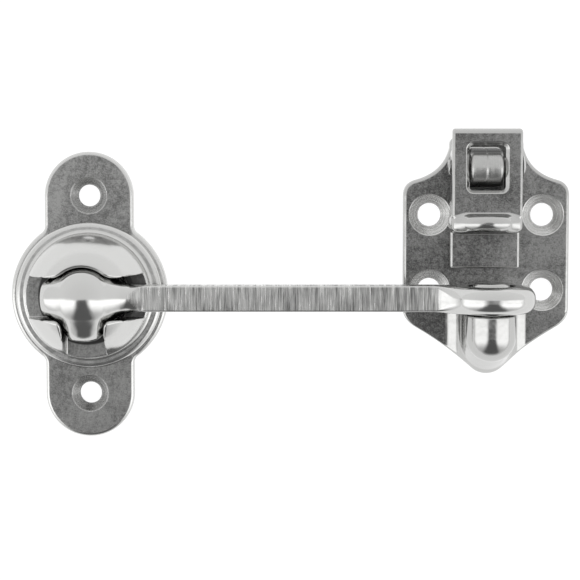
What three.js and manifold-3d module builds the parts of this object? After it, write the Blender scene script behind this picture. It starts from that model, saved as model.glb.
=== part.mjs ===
// Door hook with a ball swivel, a horn keeper and a flip-up safety lever.
//
// Millimetres. Z = 0 is the mounting face, +Z points away from it. +X runs along the hook from
// the swivel to the keeper, and +Y is up when the fitting is screwed to a door. The origin is on
// the mounting face under the centre of the swivel ball.

import * as THREE from "three";
import { mergeVertices } from "three/addons/utils/BufferGeometryUtils.js";
import Module from "manifold-3d";

const wasm = await Module();
wasm.setup();

// ---- driving dimensions ------------------------------------------------------------------

const PLATE = 3; // thickness of both base plates
const PLATE_EDGE = 0.9; // rounding of their front edges
const CLEAR = 0.3; // running clearance between moving parts

const AXIS_Z = 14.5; // height of the ball's centre and of the hook's centre line
const HOOK_LENGTH = 100; // ball centre to keeper peg

// swivel base
const EAR_R = 11.15;
const EAR_REACH = 36;
const EAR_HOLE_Y = 25;
const DISC_R = 19.7;
const FLANGE_R = 18.4;
const FLANGE_TOP = 5;
const DOME_R = 15.6;
const DOME_Z = 7; // centre of the hemisphere
const MOUTH_R = 8.3;
const SLOT_HALF = 5.2; // the two slots in line with the hook
const SLOT_FLARE = 6.15; // upper edge of the hook's slot at its outer end
const DROP_SLOT_HALF = 5.1; // the slot the hook hangs in when it is stowed
const SLOT_FLOOR = 8.8;
const STUB_ROOM = 2.4; // the cavity for the stubs ends this far in front of the ball's centre
const CAP_FOOT = 3.05; // underside of the flange, just clear of the plate
const CAP_FILLET = 1.6; // where the dome meets its flange
const SEAT_BOTTOM = 4.6;
const SEAT_CAVITY_R = 12.1;
const SEAT_CAVITY_TOP = 7.4;
const SEAT_COLLAR_R = 9.3;
const SEAT_COLLAR_TOP = 9.5;
const RIVET_CIRCLE_R = 14.3;
const RIVET_R = 1;
const RIVET_HEAD_R = 1.8;
const RIVET_TOP = 5.3;
const RIVET_SINK = 0.15; // how far the heads sit below the plate's back
const RIVET_GAP = 0.15; // between a rivet and its hole

// hook
const BALL_R = 8.6;
const STUB_R = 4.8;
const STUB_REACH = 10.8; // stub ends lie on a sphere of this radius
const NECK_R = 3.6;
const NECK_END = 11.1; // from here the round neck turns into the square bar
const BAR = 6.35;
const BAR_START = 15.2;
const EYE_R = 10.9;
const EYE_HOLE_R = 5.2;
const EYE_HEIGHT = 6.7;
const EYE_DROP = 0.3; // the eye sits this far below the bar's centre line
const EYE_FILLET = 5;

// keeper, sideways distances measured from the peg's centre line
const KEEPER_HALF_WIDTH = 20.9;
const KEEPER_TOP_Y = 39.7;
const KEEPER_TIP_Y = -19.7;
const KEEPER_TIP_R = 5.5;
const KEEPER_NECK = 9.3; // half width of the part behind the lever's hinge
const KEEPER_CORNER_R = 1.8;
const KEEPER_HOLE_X = 14.25;
const KEEPER_HOLE_YS = [20.2, 1.2];
const HORN_R = 6.2;
const HORN_Z = 14.3;
const HORN_FOOT_R = 10.5;
const HORN_SHOULDER_Y = -4.2;
const HORN_END_Y = -9.6; // centre of the rounded lower end
const HORN_LEAN = 0.36; // that end comes forward by this much for each mm down from HORN_Z
const PEG_R = 4.6;
const PEG_TOP_Y = 3.8;

// hinge, set a little to the left of the peg
const HINGE_X = -0.8;
const HINGE_Y = 32;
const HINGE_Z = 8;
const KNUCKLE_R = 4.7;
const KNUCKLE_HALF_WIDTH = 4;
const PIN_R = 1.5;
const PIN_HOLE_R = 1.8;
const PIN_HEAD_R = 3.9;
const PIN_PEEN_R = 2;

// safety lever, heights above the mounting face
const LEVER_HALF_WIDTH = 8.7;
const LEVER_TOP_Y = 41.6;
const LEVER_TIP_Y = 7;
const LEVER_FACE_Z = 12.4;
const LEVER_SKIN = 1.6;
const CHEEK = 1.8; // thickness of the side walls
const EAR_ROUND_R = 4.5; // rounding of the side walls about the pin
const HEEL_REACH = 8.6; // the side walls reach this far above the hinge
const FOOT_REACH = 5.6; // and are at full depth this far below it
const TAB_TOP_Y = 20.4;
const TAB_BOTTOM_Y = 16.1;
const TAB_R = 8.7; // the thumb tab is half a disc standing across the lever
const TAB_Z = 16; // its crest
const TONGUE_TOP_Z = 7.4;
const TONGUE_BOTTOM_Z = 4.6;
const WINDOW = { halfWidth: 4.5, bottom: 26.4, top: 37.5 };
const WINDOW_BEVEL = 0.75;

const ROUND = 32; // facets of a large round shape
const SMALL_ROUND = 16; // facets of a small one
const FAR = 60; // beyond the edge of any one piece

// ---- materials ---------------------------------------------------------------------------

const steel = (color, roughness) =>
  new THREE.MeshStandardMaterial({ color, roughness, metalness: 1 });
const satinSteel = steel(0x8e8f90, 0.42);
const polishedSteel = steel(0xd4d5d2, 0.12);
const barSteel = steel(0xa7a5a3, 0.35);
const springSteel = steel(0x77787a, 0.35);

// ---- solids ------------------------------------------------------------------------------

// A closed geometry as a manifold-3d solid, turned to face outwards.
function solid(geometry) {
  const bare = new THREE.BufferGeometry();
  bare.setAttribute("position", geometry.getAttribute("position"));
  bare.setIndex(geometry.getIndex());
  const merged = mergeVertices(bare, 1e-4);
  const source = merged.index.array;
  const make = (flip) => {
    const triVerts = [];
    for (let i = 0; i < source.length; i += 3) {
      const [a, b, c] = [source[i], source[i + 1], source[i + 2]];
      if (a === b || b === c || c === a) continue;
      triVerts.push(a, flip ? c : b, flip ? b : c);
    }
    return new wasm.Manifold(
      new wasm.Mesh({
        numProp: 3,
        vertProperties: new Float32Array(merged.attributes.position.array),
        triVerts: new Uint32Array(triVerts),
      }),
    );
  };
  const made = make(false);
  return made.volume() > 0 ? made : make(true);
}

function geometryOf(made) {
  const mesh = made.getMesh();
  const positions = new Float32Array(mesh.numVert * 3);
  for (let i = 0; i < mesh.numVert; i++) {
    positions.set(mesh.vertProperties.subarray(i * mesh.numProp, i * mesh.numProp + 3), i * 3);
  }
  const geometry = new THREE.BufferGeometry();
  geometry.setAttribute("position", new THREE.BufferAttribute(positions, 3));
  geometry.setIndex(new THREE.BufferAttribute(mesh.triVerts, 1));
  geometry.computeVertexNormals();
  return geometry;
}

function piece(name, made, material) {
  const mesh = new THREE.Mesh(geometryOf(made), material);
  mesh.name = name;
  return mesh;
}

const joined = (...solids) => solids.reduce((sum, next) => sum.add(next));
const cut = (from, ...tools) => tools.reduce((rest, tool) => rest.subtract(tool), from);

function box(x0, x1, y0, y1, z0, z1) {
  const geometry = new THREE.BoxGeometry(x1 - x0, y1 - y0, z1 - z0);
  geometry.translate((x0 + x1) / 2, (y0 + y1) / 2, (z0 + z1) / 2);
  return solid(geometry);
}

function sphere(radius, at) {
  const geometry = new THREE.SphereGeometry(radius, ROUND, ROUND / 2);
  geometry.rotateX(Math.PI / 2);
  geometry.translate(...at);
  return solid(geometry);
}

// A profile of [radius, height] points turned about an axis through a point.
function lathe(profile, axis, at, segments) {
  const points = profile.map(([r, h]) => new THREE.Vector2(r, h));
  const geometry = new THREE.LatheGeometry(points, segments);
  if (axis === "z") geometry.rotateX(Math.PI / 2);
  if (axis === "x") geometry.rotateZ(-Math.PI / 2);
  geometry.translate(...at);
  return geometry;
}

function turned(profile, axis, at, segments = ROUND) {
  return solid(lathe(profile, axis, at, segments));
}

// A round rod along an axis, from h0 to h1 measured from the point.
function rod(radius, h0, h1, axis, at = [0, 0, 0], segments = ROUND) {
  return turned([[0, h0], [radius, h0], [radius, h1], [0, h1]], axis, at, segments);
}

// A shape in the XY plane, from z0 to z1.
function slab(shape, z0, z1, curveSegments = 8) {
  const geometry = new THREE.ExtrudeGeometry(shape, {
    depth: z1 - z0,
    bevelEnabled: false,
    curveSegments,
  });
  geometry.translate(0, 0, z0);
  return solid(geometry);
}

// A base plate: the shape from Z = 0 to the plate's thickness, with its front edge rounded.
function plateOf(shape, curveSegments = 10) {
  const geometry = new THREE.ExtrudeGeometry(shape, {
    depth: PLATE,
    bevelThickness: PLATE_EDGE,
    bevelSize: PLATE_EDGE,
    bevelOffset: -PLATE_EDGE,
    bevelSegments: 3,
    curveSegments,
  });
  geometry.translate(0, 0, -PLATE_EDGE);
  const below = box(-FAR, FAR, -FAR, FAR, -FAR, 0);
  return cut(solid(geometry), below);
}

// A shape drawn in (y, z), from x0 to x1.
function alongX(shape, x0, x1, curveSegments = 8) {
  const geometry = new THREE.ExtrudeGeometry(shape, {
    depth: x1 - x0,
    bevelEnabled: false,
    curveSegments,
  });
  geometry.rotateX(Math.PI / 2);
  geometry.rotateZ(Math.PI / 2);
  geometry.translate(x0, 0, 0);
  return solid(geometry);
}

// A shape drawn in (x, z), from y0 down to y1.
function downY(shape, y0, y1, curveSegments = 8) {
  const geometry = new THREE.ExtrudeGeometry(shape, {
    depth: y0 - y1,
    bevelEnabled: false,
    curveSegments,
  });
  geometry.rotateX(Math.PI / 2);
  geometry.translate(0, y0, 0);
  return solid(geometry);
}

function polygon(points) {
  return new THREE.Shape(points.map(([x, y]) => new THREE.Vector2(x, y)));
}

// Points on an arc, from one angle to another in degrees.
function arc(radius, cx, cy, from, to, steps) {
  return Array.from({ length: steps + 1 }, (_, i) => {
    const a = THREE.MathUtils.degToRad(THREE.MathUtils.lerp(from, to, i / steps));
    return [cx + radius * Math.cos(a), cy + radius * Math.sin(a)];
  });
}

function roundedRectangle(x0, x1, y0, y1, radius, steps = 6) {
  return polygon([
    ...arc(radius, x1 - radius, y0 + radius, -90, 0, steps),
    ...arc(radius, x1 - radius, y1 - radius, 0, 90, steps),
    ...arc(radius, x0 + radius, y1 - radius, 90, 180, steps),
    ...arc(radius, x0 + radius, y0 + radius, 180, 270, steps),
  ]);
}

// The tool for a wood screw's hole: a plain hole with a cone opening to the front face.
function screwHole(x, y, holeR, headR) {
  const profile = [
    [0, -1],
    [holeR, -1],
    [holeR, PLATE - (headR - holeR)],
    [headR, PLATE],
    [headR, PLATE + 1],
    [0, PLATE + 1],
  ];
  return turned(profile, "z", [x, y, 0], ROUND - 8);
}

// ---- swivel base -------------------------------------------------------------------------

const RIVETS = [45, 135, 225, 315].map((degrees) => {
  const a = THREE.MathUtils.degToRad(degrees);
  return [RIVET_CIRCLE_R * Math.cos(a), RIVET_CIRCLE_R * Math.sin(a)];
});

// A rivet's outline, grown by a margin to make the hole it stands in.
function rivetShape([x, y], margin, bottom, top) {
  const headR = RIVET_HEAD_R + margin;
  const shankR = RIVET_R + margin;
  const profile = [
    [0, bottom],
    [headR, bottom],
    [headR, RIVET_SINK],
    [shankR, RIVET_SINK + headR - shankR],
    [shankR, top],
    [0, top],
  ];
  return turned(profile, "z", [x, y, 0], SMALL_ROUND);
}

function swivelPlate() {
  const ears = polygon([
    ...arc(EAR_R, 0, EAR_REACH - EAR_R, 0, 180, 20),
    ...arc(EAR_R, 0, EAR_R - EAR_REACH, 180, 360, 20),
  ]);
  const disc = polygon(arc(DISC_R, 0, 0, 0, 360, 56).slice(0, -1));
  return cut(
    joined(plateOf(ears), plateOf(disc)),
    screwHole(0, EAR_HOLE_Y, 2.75, 4.55),
    screwHole(0, -EAR_HOLE_Y, 2.75, 4.55),
    ...RIVETS.map((at) => rivetShape(at, RIVET_GAP, -1, PLATE + 1)),
  );
}

// The dome that keeps the ball: open at its mouth, with slots to both sides for the hook and
// one below for stowing it.
function domeCap() {
  const profile = [
    [0, CAP_FOOT],
    [FLANGE_R, CAP_FOOT],
    ...arc(0.8, FLANGE_R - 0.8, FLANGE_TOP - 0.8, 0, 90, 3),
    ...arc(CAP_FILLET, DOME_R + CAP_FILLET, FLANGE_TOP + CAP_FILLET, 270, 180, 4),
    ...arc(DOME_R, 0, DOME_Z, 0, 90, 14).slice(0, -1),
    [0, DOME_Z + DOME_R],
  ];
  const top = DOME_Z + DOME_R + 1;
  const hookSlots = polygon([
    [-DISC_R, -SLOT_HALF],
    [DISC_R, -SLOT_HALF],
    [DISC_R, SLOT_FLARE],
    [MOUTH_R, SLOT_HALF],
    [-DISC_R, SLOT_HALF],
  ]);
  const stubRoom = cut(
    sphere(STUB_REACH + CLEAR, [0, 0, AXIS_Z]),
    box(-FAR, FAR, -FAR, FAR, AXIS_Z + STUB_ROOM, FAR),
  );
  return cut(
    turned(profile, "z", [0, 0, 0], ROUND + 16),
    sphere(BALL_R + CLEAR, [0, 0, AXIS_Z]),
    rod(MOUTH_R, AXIS_Z, top, "z"),
    stubRoom,
    rod(SEAT_CAVITY_R, PLATE - 1, SEAT_CAVITY_TOP, "z"),
    rod(SEAT_COLLAR_R + CLEAR, PLATE, SEAT_COLLAR_TOP + CLEAR, "z"),
    slab(hookSlots, SLOT_FLOOR, top),
    box(-DROP_SLOT_HALF, DROP_SLOT_HALF, -DISC_R, 0, SLOT_FLOOR, top),
    ...RIVETS.map((at) => rivetShape(at, RIVET_GAP, -1, RIVET_TOP + 0.25)),
  );
}

// The collared disc that bears on the back of the ball, grooved so a stub can pass behind it.
function ballSeat() {
  const grooveHalf = STUB_R + 0.4;
  const groove = sphere(STUB_REACH + CLEAR, [0, 0, AXIS_Z])
    .intersect(box(-DISC_R, DISC_R, -grooveHalf, grooveHalf, 0, AXIS_Z));
  return cut(
    joined(
      rod(SEAT_CAVITY_R - CLEAR, SEAT_BOTTOM, SEAT_CAVITY_TOP - CLEAR, "z"),
      rod(SEAT_COLLAR_R, SEAT_BOTTOM, SEAT_COLLAR_TOP, "z"),
    ),
    sphere(BALL_R + CLEAR, [0, 0, AXIS_Z]),
    groove,
  );
}

// A flat ring washer pressed into three waves.
function waveSpring() {
  const [inner, outer, half, middle, wave] = [8.8, 11.7, 0.15, 3.8, 0.33];
  const section = [
    [inner, -half],
    [outer, -half],
    [outer, half],
    [inner, half],
    [inner, -half],
  ].map(([r, h]) => new THREE.Vector2(r, h));
  const geometry = new THREE.LatheGeometry(section, 48);
  geometry.rotateX(Math.PI / 2);
  const at = geometry.getAttribute("position");
  for (let i = 0; i < at.count; i++) {
    const angle = Math.atan2(at.getY(i), at.getX(i));
    at.setZ(i, at.getZ(i) + middle + wave * Math.cos(3 * angle));
  }
  return solid(geometry);
}

// ---- hook, modelled about the ball's centre ------------------------------------------------

function ballEnd() {
  const stubs = joined(
    rod(STUB_R, -STUB_REACH - 1, 0, "x"),
    rod(STUB_R, -STUB_REACH - 1, 0, "y"),
  ).intersect(sphere(STUB_REACH, [0, 0, 0]));
  const neck = turned(
    [
      [0, 0],
      [STUB_R, 0],
      [STUB_R, 6.4],
      [STUB_R - 0.3, 7.4],
      [NECK_R + 0.2, 9.2],
      [NECK_R, NECK_END + 0.1],
      [0, NECK_END + 0.1],
    ],
    "x",
    [0, 0, 0],
  );
  return joined(sphere(BALL_R, [0, 0, 0]), stubs, neck);
}

function squareBar(x0, x1) {
  const half = BAR / 2;
  return alongX(roundedRectangle(-half, half, -half, half, 0.4, 2), x0, x1);
}

// The eye, with fillets where the bar's front and back faces run up to it.
function eyeEnd() {
  const middleR = (EYE_R + EYE_HOLE_R) / 2;
  const halfWidth = (EYE_R - EYE_HOLE_R) / 2;
  const halfHeight = EYE_HEIGHT / 2;
  const squarer = (v) => Math.sign(v) * Math.abs(v) ** 0.85;
  const section = arc(1, 0, 0, 0, 360, 18).map(([c, s]) => [
    middleR + halfWidth * squarer(c),
    halfHeight * squarer(s) - EYE_DROP,
  ]);
  const centreX = HOOK_LENGTH - Math.sqrt((EYE_R + EYE_FILLET) ** 2 - (BAR / 2 + EYE_FILLET) ** 2);
  const reach = THREE.MathUtils.radToDeg(
    Math.asin((BAR / 2 + EYE_FILLET) / (EYE_R + EYE_FILLET)),
  );
  const upper = arc(EYE_FILLET, centreX, BAR / 2 + EYE_FILLET, -90, -reach, 6);
  const lower = upper.map(([x, z]) => [x, -z]).reverse();
  const web = downY(polygon([...lower, ...upper]), 2.8, -2.9);
  return cut(
    joined(turned(section, "y", [HOOK_LENGTH, 0, 0], ROUND + 8), web),
    rod(EYE_HOLE_R, -EYE_HEIGHT, EYE_HEIGHT, "y", [HOOK_LENGTH, 0, 0], ROUND + 8),
  );
}

// From the round neck to the square bar: the neck narrows inside the bar's flats while the
// bar's corners grow out of it.
function neckTaper() {
  const inside = turned(
    [[0, NECK_END], [NECK_R, NECK_END], [BAR / 2 - 0.1, BAR_START], [0, BAR_START]],
    "x",
    [0, 0, 0],
  );
  const corners = turned(
    [[0, NECK_END], [NECK_R, NECK_END], [BAR * 0.7, BAR_START], [0, BAR_START]],
    "x",
    [0, 0, 0],
  );
  return joined(inside, corners.intersect(squareBar(NECK_END - 1, BAR_START + 1)));
}

function hookCasting() {
  return joined(
    ballEnd(),
    neckTaper(),
    squareBar(BAR_START - 0.1, HOOK_LENGTH - EYE_R + 1.5),
    eyeEnd(),
  );
}

// ---- keeper, modelled about the peg's centre line -------------------------------------------

function keeperOutline() {
  const half = new THREE.Path();
  half.moveTo(0, KEEPER_TIP_Y);
  const tipEnd = THREE.MathUtils.degToRad(-48);
  half.absarc(0, KEEPER_TIP_Y + KEEPER_TIP_R, KEEPER_TIP_R, -Math.PI / 2, tipEnd);
  half.bezierCurveTo(7.4, -14.95, 12, -11.5, 17.3, -8.4);
  half.quadraticCurveTo(KEEPER_HALF_WIDTH, -6.4, KEEPER_HALF_WIDTH, -3.4);
  half.lineTo(KEEPER_HALF_WIDTH, 25);
  half.quadraticCurveTo(KEEPER_HALF_WIDTH, 28.2, 17.7, 29);
  half.bezierCurveTo(14.2, 30, 10.6, 32, KEEPER_NECK, 37);
  const cornerY = KEEPER_TOP_Y - KEEPER_CORNER_R;
  half.lineTo(KEEPER_NECK, cornerY);
  half.absarc(KEEPER_NECK - KEEPER_CORNER_R, cornerY, KEEPER_CORNER_R, 0, Math.PI / 2);
  const right = half.getPoints(8);
  const left = right.slice(1).reverse();
  return new THREE.Shape([...right, ...left.map((p) => new THREE.Vector2(-p.x, p.y))]);
}

// The horn's rounded lower end, turned about its own centre and leaning out towards the tip.
function hornNose(side) {
  const geometry = lathe([[0, PLATE - 1], ...side], "z", [0, 0, 0], ROUND + 8);
  const place = geometry.getAttribute("position");
  for (let i = 0; i < place.count; i++) {
    const drop = Math.max(HORN_Z - place.getZ(i), 0);
    if (place.getY(i) < 0.01) place.setY(i, place.getY(i) - HORN_LEAN * drop);
  }
  geometry.translate(0, HORN_END_Y, 0);
  return cut(solid(geometry), box(-FAR, FAR, HORN_SHOULDER_Y, FAR, -1, FAR));
}

// The bull-nosed post that flares into the plate, and the peg standing up from its shoulder.
function horn() {
  const spread = HORN_FOOT_R - HORN_R;
  const side = [
    [HORN_FOOT_R, PLATE - 1],
    ...arc(spread, HORN_FOOT_R, PLATE + spread, 270, 180, 7),
    ...arc(HORN_R, 0, HORN_Z, 0, 90, 10),
  ];
  side[side.length - 1][0] = 0;
  const mirrored = side.slice(0, -1).map(([x, z]) => [-x, z]).reverse();
  const post = downY(polygon([...side, ...mirrored]), HORN_SHOULDER_Y, HORN_END_Y);
  const nose = hornNose(side);
  const peg = turned(
    [
      [0, HORN_SHOULDER_Y - 1],
      [PEG_R, HORN_SHOULDER_Y - 1],
      ...arc(1.4, PEG_R - 1.4, PEG_TOP_Y - 1.4, 0, 90, 4),
      [0, PEG_TOP_Y],
    ],
    "y",
    [0, 0, AXIS_Z],
  );
  const clipped = joined(post, nose).intersect(slab(keeperOutline(), 0, FAR));
  return joined(clipped, peg);
}

// The barrel the lever is hinged on, standing on a web of its own width.
function knuckle() {
  const side = polygon([
    [HINGE_Y + KNUCKLE_R, PLATE - 1],
    ...arc(KNUCKLE_R, HINGE_Y, HINGE_Z, 0, 180, 16),
    [HINGE_Y - KNUCKLE_R, PLATE - 1],
  ]);
  return alongX(side, HINGE_X - KNUCKLE_HALF_WIDTH, HINGE_X + KNUCKLE_HALF_WIDTH);
}

function keeperPlate() {
  const holes = KEEPER_HOLE_YS.flatMap((y) => [-1, 1].map((side) => [side * KEEPER_HOLE_X, y]));
  return cut(
    joined(plateOf(keeperOutline()), horn(), knuckle()),
    ...holes.map(([x, y]) => screwHole(x, y, 2.9, 5.2)),
    rod(PIN_HOLE_R, -FAR, FAR, "x", [0, HINGE_Y, HINGE_Z], SMALL_ROUND),
  );
}

// A pin with a low domed head on the right and a peened end on the left.
function hingePin() {
  const face = LEVER_HALF_WIDTH + 0.2;
  const profile = [
    [0, -face - 0.5],
    [PIN_PEEN_R - 0.4, -face - 0.5],
    [PIN_PEEN_R, -face - 0.2],
    [PIN_PEEN_R, -face],
    [PIN_R, -face],
    [PIN_R, face],
    [PIN_HEAD_R, face],
    [PIN_HEAD_R, face + 0.3],
    [PIN_HEAD_R - 0.7, face + 0.8],
    [PIN_HEAD_R - 2, face + 1],
    [0, face + 1],
  ];
  return turned(profile, "x", [0, HINGE_Y, HINGE_Z], 28);
}

// A torsion spring round the hinge pin. One leg bears on the plate and the other on the
// underside of the lever.
function leverSpring(side) {
  const [wireR, coilR, turns, pitch] = [0.35, 2.1, 2.5, 0.78];
  const steps = 30;
  const coil = Array.from({ length: steps + 1 }, (_, i) => {
    const a = -Math.PI / 2 + (i / steps) * turns * Math.PI * 2;
    const x = (i / steps - 0.5) * turns * pitch;
    return new THREE.Vector3(x, coilR * Math.cos(a), coilR * Math.sin(a));
  });
  const [first, last] = [coil[0], coil[steps]];
  const plateLeg = [
    new THREE.Vector3(first.x, -6, -4.1),
    new THREE.Vector3(first.x, -3, -2.9),
  ];
  const leverLeg = [
    new THREE.Vector3(last.x, -3, coilR),
    new THREE.Vector3(last.x, -6, coilR),
  ];
  const path = new THREE.CatmullRomCurve3([...plateLeg, ...coil, ...leverLeg], false, "centripetal");
  const wire = new THREE.Shape(
    Array.from({ length: 6 }, (_, i) => {
      const a = (i / 6) * Math.PI * 2;
      return new THREE.Vector2(wireR * Math.cos(a), wireR * Math.sin(a));
    }),
  );
  const geometry = new THREE.ExtrudeGeometry(wire, {
    extrudePath: path,
    steps: steps + 12,
    bevelEnabled: false,
  });
  const middle = (KNUCKLE_HALF_WIDTH + LEVER_HALF_WIDTH - CHEEK) / 2;
  geometry.translate(side * middle, HINGE_Y, HINGE_Z);
  return solid(geometry);
}

// ---- safety lever ------------------------------------------------------------------------

const LEVER_ROOF_Z = LEVER_FACE_Z - LEVER_SKIN;

// The skin and the tongue, as one section of the full width.
function leverSection() {
  const corner = 0.9;
  return polygon([
    [LEVER_TOP_Y, LEVER_ROOF_Z],
    ...arc(corner, LEVER_TOP_Y - corner, LEVER_FACE_Z - corner, 0, 90, 3),
    [TAB_TOP_Y - 0.7, LEVER_FACE_Z],
    [TAB_TOP_Y - 0.7, TONGUE_TOP_Z],
    ...arc(0.4, LEVER_TIP_Y + 0.4, TONGUE_TOP_Z - 0.4, 90, 180, 2),
    [LEVER_TIP_Y, TONGUE_BOTTOM_Z],
    [TAB_TOP_Y + 1.6, TONGUE_BOTTOM_Z],
    [TAB_TOP_Y + 1.6, LEVER_ROOF_Z],
  ]);
}

// The thumb tab, half a disc with a rounded rim.
function thumbTab() {
  const half = (TAB_TOP_Y - TAB_BOTTOM_Y) / 2;
  const rim = arc(half, TAB_R - half, 0, -90, 90, 8);
  const disc = turned([[0, -half], ...rim, [0, half]], "y", [0, TAB_TOP_Y - half, TAB_Z - TAB_R], 40);
  const w = LEVER_HALF_WIDTH;
  const shoulders = box(-w, w, TAB_BOTTOM_Y + 0.5, TAB_TOP_Y, TONGUE_BOTTOM_Z, LEVER_FACE_Z);
  return cut(joined(disc, shoulders), box(-FAR, FAR, -FAR, FAR, -FAR, TONGUE_BOTTOM_Z));
}

// One side wall: rounded about the pin, and cut back above it so the heel clears the plate.
function cheek(x0, x1) {
  const side = polygon([
    [HINGE_Y + HEEL_REACH, LEVER_ROOF_Z + 0.4],
    [TAB_TOP_Y, LEVER_ROOF_Z + 0.4],
    [TAB_TOP_Y, TONGUE_BOTTOM_Z],
    [HINGE_Y - FOOT_REACH, TONGUE_BOTTOM_Z],
    ...arc(EAR_ROUND_R, HINGE_Y, HINGE_Z, 235, 370, 12),
    [HINGE_Y + HEEL_REACH, LEVER_ROOF_Z],
  ]);
  return alongX(side, x0, x1);
}

// The tool for the window, opening outwards in a bevel at the lever's face.
function windowTool() {
  const { halfWidth, bottom, top } = WINDOW;
  const outline = roundedRectangle(-halfWidth, halfWidth, bottom, top, 1.1, 4);
  const bevel = new THREE.ExtrudeGeometry(outline, {
    depth: 1,
    bevelThickness: WINDOW_BEVEL,
    bevelSize: WINDOW_BEVEL,
    bevelSegments: 1,
  });
  bevel.translate(0, 0, LEVER_FACE_Z);
  return joined(slab(outline, HINGE_Z, LEVER_FACE_Z), solid(bevel));
}

function safetyLever() {
  const inner = LEVER_HALF_WIDTH - CHEEK;
  return cut(
    joined(
      alongX(leverSection(), -LEVER_HALF_WIDTH, LEVER_HALF_WIDTH),
      thumbTab(),
      cheek(-LEVER_HALF_WIDTH, -inner),
      cheek(inner, LEVER_HALF_WIDTH),
    ),
    windowTool(),
    rod(PIN_HOLE_R, -FAR, FAR, "x", [0, HINGE_Y, HINGE_Z], SMALL_ROUND),
  );
}

// ---- assembly ----------------------------------------------------------------------------

const swivel = new THREE.Group();
swivel.add(
  piece("swivel_plate", swivelPlate(), satinSteel),
  piece("dome_cap", domeCap(), polishedSteel),
  piece("ball_seat", ballSeat(), satinSteel),
  piece("wave_spring", waveSpring(), springSteel),
);
RIVETS.forEach((at, i) => {
  swivel.add(piece(`cap_rivet_${i + 1}`, rivetShape(at, 0, 0.05, RIVET_TOP), satinSteel));
});

const hook = new THREE.Group();
hook.position.z = AXIS_Z;
hook.add(piece("hook", hookCasting(), barSteel));

const keeper = new THREE.Group();
keeper.position.x = HOOK_LENGTH;
keeper.add(piece("keeper_plate", keeperPlate(), satinSteel));

const onHinge = new THREE.Group();
onHinge.position.x = HINGE_X;
onHinge.add(
  piece("safety_lever", safetyLever(), satinSteel),
  piece("hinge_pin", hingePin(), polishedSteel),
  piece("lever_spring_left", leverSpring(-1), springSteel),
  piece("lever_spring_right", leverSpring(1), springSteel),
);

keeper.add(onHinge);

const latch = new THREE.Group();
latch.add(swivel, hook, keeper);

export default latch;
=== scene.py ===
"""The look of a door hook with a ball swivel, a horn keeper and a safety lever.

Shapes are written as distance fields in millimetres, in the CAD frame, and meshed at their
zero level. Blender objects are in metres.
"""

import math

import bpy
import numpy as np
import openvdb
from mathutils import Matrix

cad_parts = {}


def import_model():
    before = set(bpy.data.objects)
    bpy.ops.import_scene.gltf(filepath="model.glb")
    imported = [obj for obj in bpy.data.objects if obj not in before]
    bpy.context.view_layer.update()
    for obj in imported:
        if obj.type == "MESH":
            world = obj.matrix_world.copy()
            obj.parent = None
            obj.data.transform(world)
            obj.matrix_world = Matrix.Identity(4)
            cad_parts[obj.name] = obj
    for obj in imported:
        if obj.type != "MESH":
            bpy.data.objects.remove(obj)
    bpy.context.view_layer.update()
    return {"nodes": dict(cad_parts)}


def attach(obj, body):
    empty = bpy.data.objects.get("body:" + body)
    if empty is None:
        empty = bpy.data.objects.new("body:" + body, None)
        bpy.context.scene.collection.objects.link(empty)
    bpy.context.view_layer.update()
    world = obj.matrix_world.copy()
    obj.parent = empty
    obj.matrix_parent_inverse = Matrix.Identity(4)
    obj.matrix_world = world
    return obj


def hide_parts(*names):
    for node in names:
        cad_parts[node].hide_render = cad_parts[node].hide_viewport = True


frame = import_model()

MM = 0.001
CELL = 0.17  # mesh cell of the large castings, in mm

# ---- sizes in millimetres ------------------------------------------------------------------
# The main sizes are the CAD source's. Edges, fillets and lips are for the look.

PLATE = 3.0
PLATE_EDGE = 0.9
BACK_EDGE = 0.15
HOLE_EDGE = 0.1
AXIS_Z = 14.5
HOOK_LENGTH = 100.0
CLEAR = 0.3

EAR_R = 11.15
EAR_REACH = 36.0
EAR_HOLE_Y = 25.0
EAR_HOLE_R = 2.75
EAR_HEAD_R = 4.55
DISC_R = 19.7
FLANGE_R = 18.4
FLANGE_TOP = 5.0
FLANGE_EDGE = 1.2
FLANGE_FILLET = 0.9
DOME_R = 15.6
DOME_Z = 7.0
MOUTH_R = 8.3
MOUTH_INSET = 0.5  # the mouth's wall stands this far inside MOUTH_R, below its rounded lip
MOUTH_LIP = 0.7
SLOT_LIP = 0.4
SLOT_HALF = 5.2
SLOT_FLARE = 0.1  # the upper edge of the hook's slot rises by this much for each mm outwards
DROP_SLOT_HALF = 5.1
SLOT_FLOOR = 8.8
SEAT_CAVITY_R = 12.1
SEAT_CAVITY_TOP = 7.4
SEAT_BOTTOM = 4.6
SEAT_COLLAR_R = 9.3
SEAT_COLLAR_TOP = 9.5
STUB_ROOM = 2.4

BALL_R = 8.6
STUB_R = 4.8
STUB_REACH = 10.8
STUB_EDGE = 1.9
STUB_FILLET = 2.2
NECK_R = 3.6
NECK_FILLET = 1.6
BAR_HALF = 3.175
BAR_EDGE = 0.4
EYE_R = 10.9
EYE_HOLE_R = 5.2
EYE_HALF_HEIGHT = 3.35
EYE_EDGE = 2.9
EYE_HOLE_EDGE = 1.6
EYE_DROP = 0.3
EYE_FILLET = 4.2
EYE_JOIN = 30.0  # this far from the eye's centre the two halves of the hook are joined

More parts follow.
